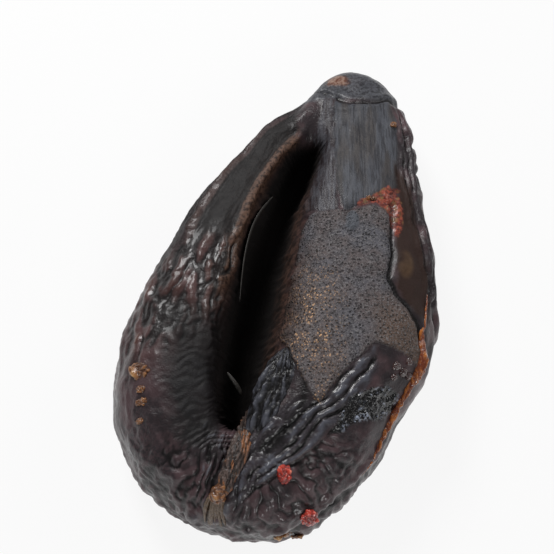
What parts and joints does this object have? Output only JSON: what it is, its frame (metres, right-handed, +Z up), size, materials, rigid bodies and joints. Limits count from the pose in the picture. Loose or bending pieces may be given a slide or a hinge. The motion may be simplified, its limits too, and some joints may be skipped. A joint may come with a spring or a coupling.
{
  "type": "smoke-dried catfish",
  "caption": "Whole smoke-dried catfish bent sideways into a closed loop, tail pressed against the snout, lying back up.",
  "frame": {"origin": "on the resting surface, under the middle of the fish's outline", "axes": "+Y from the bend to the snout, +X towards the head's side of the loop, +Z up"},
  "size_m": [0.127, 0.1952, 0.048],
  "materials": {
    "smoked_skin": "dried, smoke-blackened skin with an oily shine"
  },
  "bodies": {
    "root": {"smoked_fish": "smoked_skin"}
  },
  "joints": []
}
